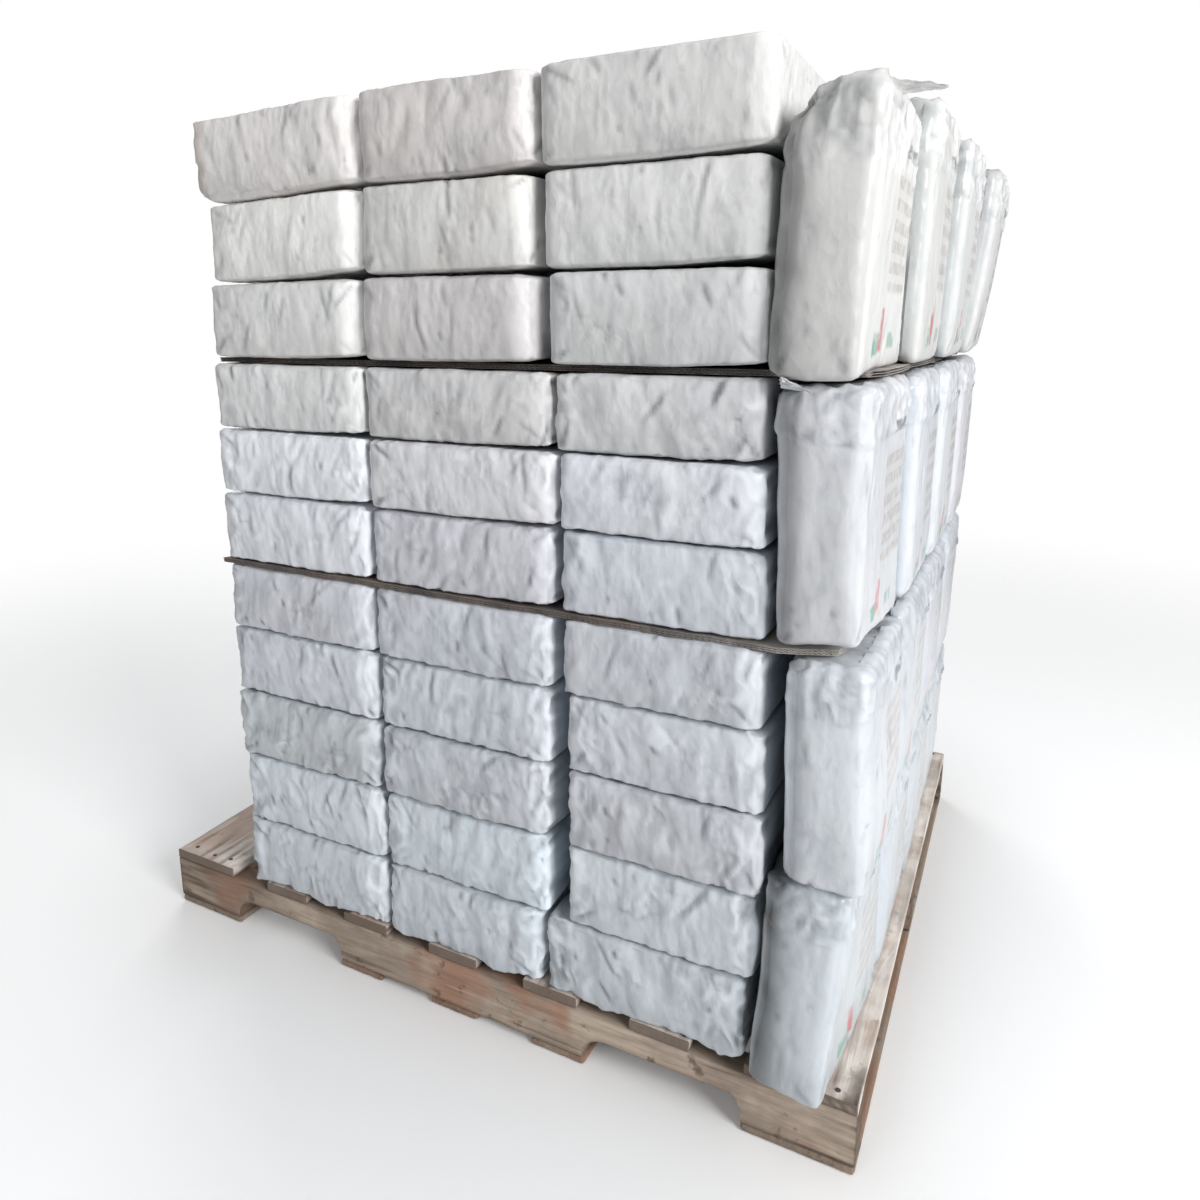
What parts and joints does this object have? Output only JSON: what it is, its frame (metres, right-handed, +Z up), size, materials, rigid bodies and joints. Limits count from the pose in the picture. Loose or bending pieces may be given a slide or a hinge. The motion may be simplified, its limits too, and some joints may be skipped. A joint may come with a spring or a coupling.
{
  "type": "pallet of sacks",
  "caption": "Loaded wooden pallet: layers of lying film-wrapped bales of pressed rags beside upright bales, parted by cardboard sheets, on a notched-stringer pallet.",
  "frame": {"origin": "middle of the pallet's underside, on the floor", "axes": "+Z up; +X along the stringers, towards the standing bales; +Y from the pictured long side to the back, along the deck boards"},
  "size_m": [1.2405, 1.024, 1.3376],
  "materials": {
    "bale_film": "creased clear film over pressed white rags, semi-gloss",
    "standing_film": "smooth white film bag, satin, with bright rounded edges",
    "cardboard": "brown kraft board with torn, dirty edges",
    "pallet_wood": "weathered sawn softwood, grey-brown with reddish patches",
    "pallet_wood_dark": "dirty sawn softwood, dark brown",
    "nail_steel": "dull rusty nail heads"
  },
  "bodies": {
    "root": {"bale_layer_01": "bale_film", "bale_layer_02": "bale_film", "bale_layer_03": "bale_film", "bale_layer_04": "bale_film", "bale_layer_05": "bale_film", "bale_layer_06": "bale_film", "bale_layer_07": "bale_film", "bale_layer_08": "bale_film", "bale_layer_09": "bale_film", "bale_layer_10": "bale_film", "bale_layer_11": "bale_film", "standing_bale_1_1": "standing_film", "standing_bale_1_2": "standing_film", "standing_bale_1_3": "standing_film", "standing_bale_1_4": "standing_film", "standing_bale_2_1": "standing_film", "standing_bale_2_2": "standing_film", "standing_bale_2_3": "standing_film", "standing_bale_2_4": "standing_film", "standing_bale_3_1": "standing_film", "standing_bale_3_2": "standing_film", "standing_bale_3_3": "standing_film", "standing_bale_3_4": "standing_film", "standing_bale_4_1": "standing_film", "standing_bale_4_2": "standing_film", "standing_bale_4_3": "standing_film", "standing_bale_4_4": "standing_film", "cardboard_sheet_low": "cardboard", "cardboard_sheet_high": "cardboard", "stringer_front": "pallet_wood", "stringer_middle": "pallet_wood", "stringer_back": "pallet_wood", "top_board_1": "pallet_wood", "top_board_2": "pallet_wood", "top_board_3": "pallet_wood", "top_board_4": "pallet_wood", "top_board_5": "pallet_wood", "top_board_6": "pallet_wood", "top_board_7": "pallet_wood", "bottom_board_1": "pallet_wood_dark", "bottom_board_2": "pallet_wood_dark", "bottom_board_3": "pallet_wood_dark", "bottom_board_4": "pallet_wood_dark", "bottom_board_5": "pallet_wood_dark"}
  },
  "joints": []
}
